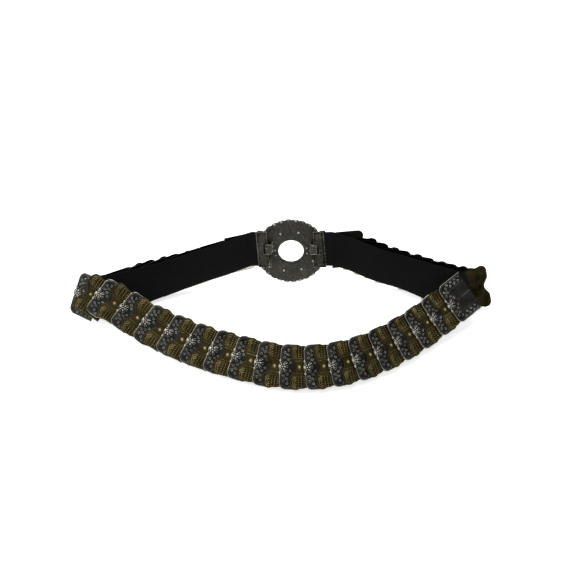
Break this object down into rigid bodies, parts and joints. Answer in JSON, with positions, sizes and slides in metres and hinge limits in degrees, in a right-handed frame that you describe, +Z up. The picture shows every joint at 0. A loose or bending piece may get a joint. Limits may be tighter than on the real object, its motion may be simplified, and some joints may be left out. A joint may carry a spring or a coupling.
{
  "type": "metal stretch belt",
  "caption": "Stretch belt of overlapping ornate metal plates in silver and brass tones on a black elastic band, closed by a round scalloped buckle",
  "frame": {"origin": "middle of the belt's footprint, on the surface it lies on", "axes": "+X to the belt's right end as seen from its front run, +Y from the front run to the buckle at the back, +Z up"},
  "size_m": [0.3828, 0.1456, 0.0635],
  "materials": {
    "silver": "antique silver plate, polished on the relief and dark in the recesses",
    "brass": "antique brass plate, dull and dark in the recesses",
    "elastic": "black woven elastic webbing",
    "pewter": "rough cast back of a plated zinc buckle"
  },
  "bodies": {
    "root": {"silver_plate_01": "silver", "silver_plate_02": "silver", "silver_plate_03": "silver", "silver_plate_04": "silver", "silver_plate_05": "silver", "silver_plate_06": "silver", "silver_plate_07": "silver", "silver_plate_08": "silver", "silver_plate_09": "silver", "silver_plate_10": "silver", "silver_plate_11": "silver", "silver_plate_12": "silver", "silver_plate_13": "silver", "silver_plate_14": "silver", "silver_plate_15": "silver", "silver_plate_16": "silver", "silver_plate_17": "silver", "silver_plate_18": "silver", "brass_plate_01": "brass", "brass_plate_02": "brass", "brass_plate_03": "brass", "brass_plate_04": "brass", "brass_plate_05": "brass", "brass_plate_06": "brass", "brass_plate_07": "brass", "brass_plate_08": "brass", "brass_plate_09": "brass", "brass_plate_10": "brass", "brass_plate_11": "brass", "brass_plate_12": "brass", "brass_plate_13": "brass", "brass_plate_14": "brass", "brass_plate_15": "brass", "brass_plate_16": "brass", "brass_plate_17": "brass", "brass_plate_18": "brass", "left_back_plates": "brass", "right_back_plates": "brass", "elastic_band": "elastic", "buckle_disc": "pewter", "left_clamp": "pewter", "right_clamp": "pewter", "left_hook": "pewter", "right_hook": "pewter"}
  },
  "joints": []
}
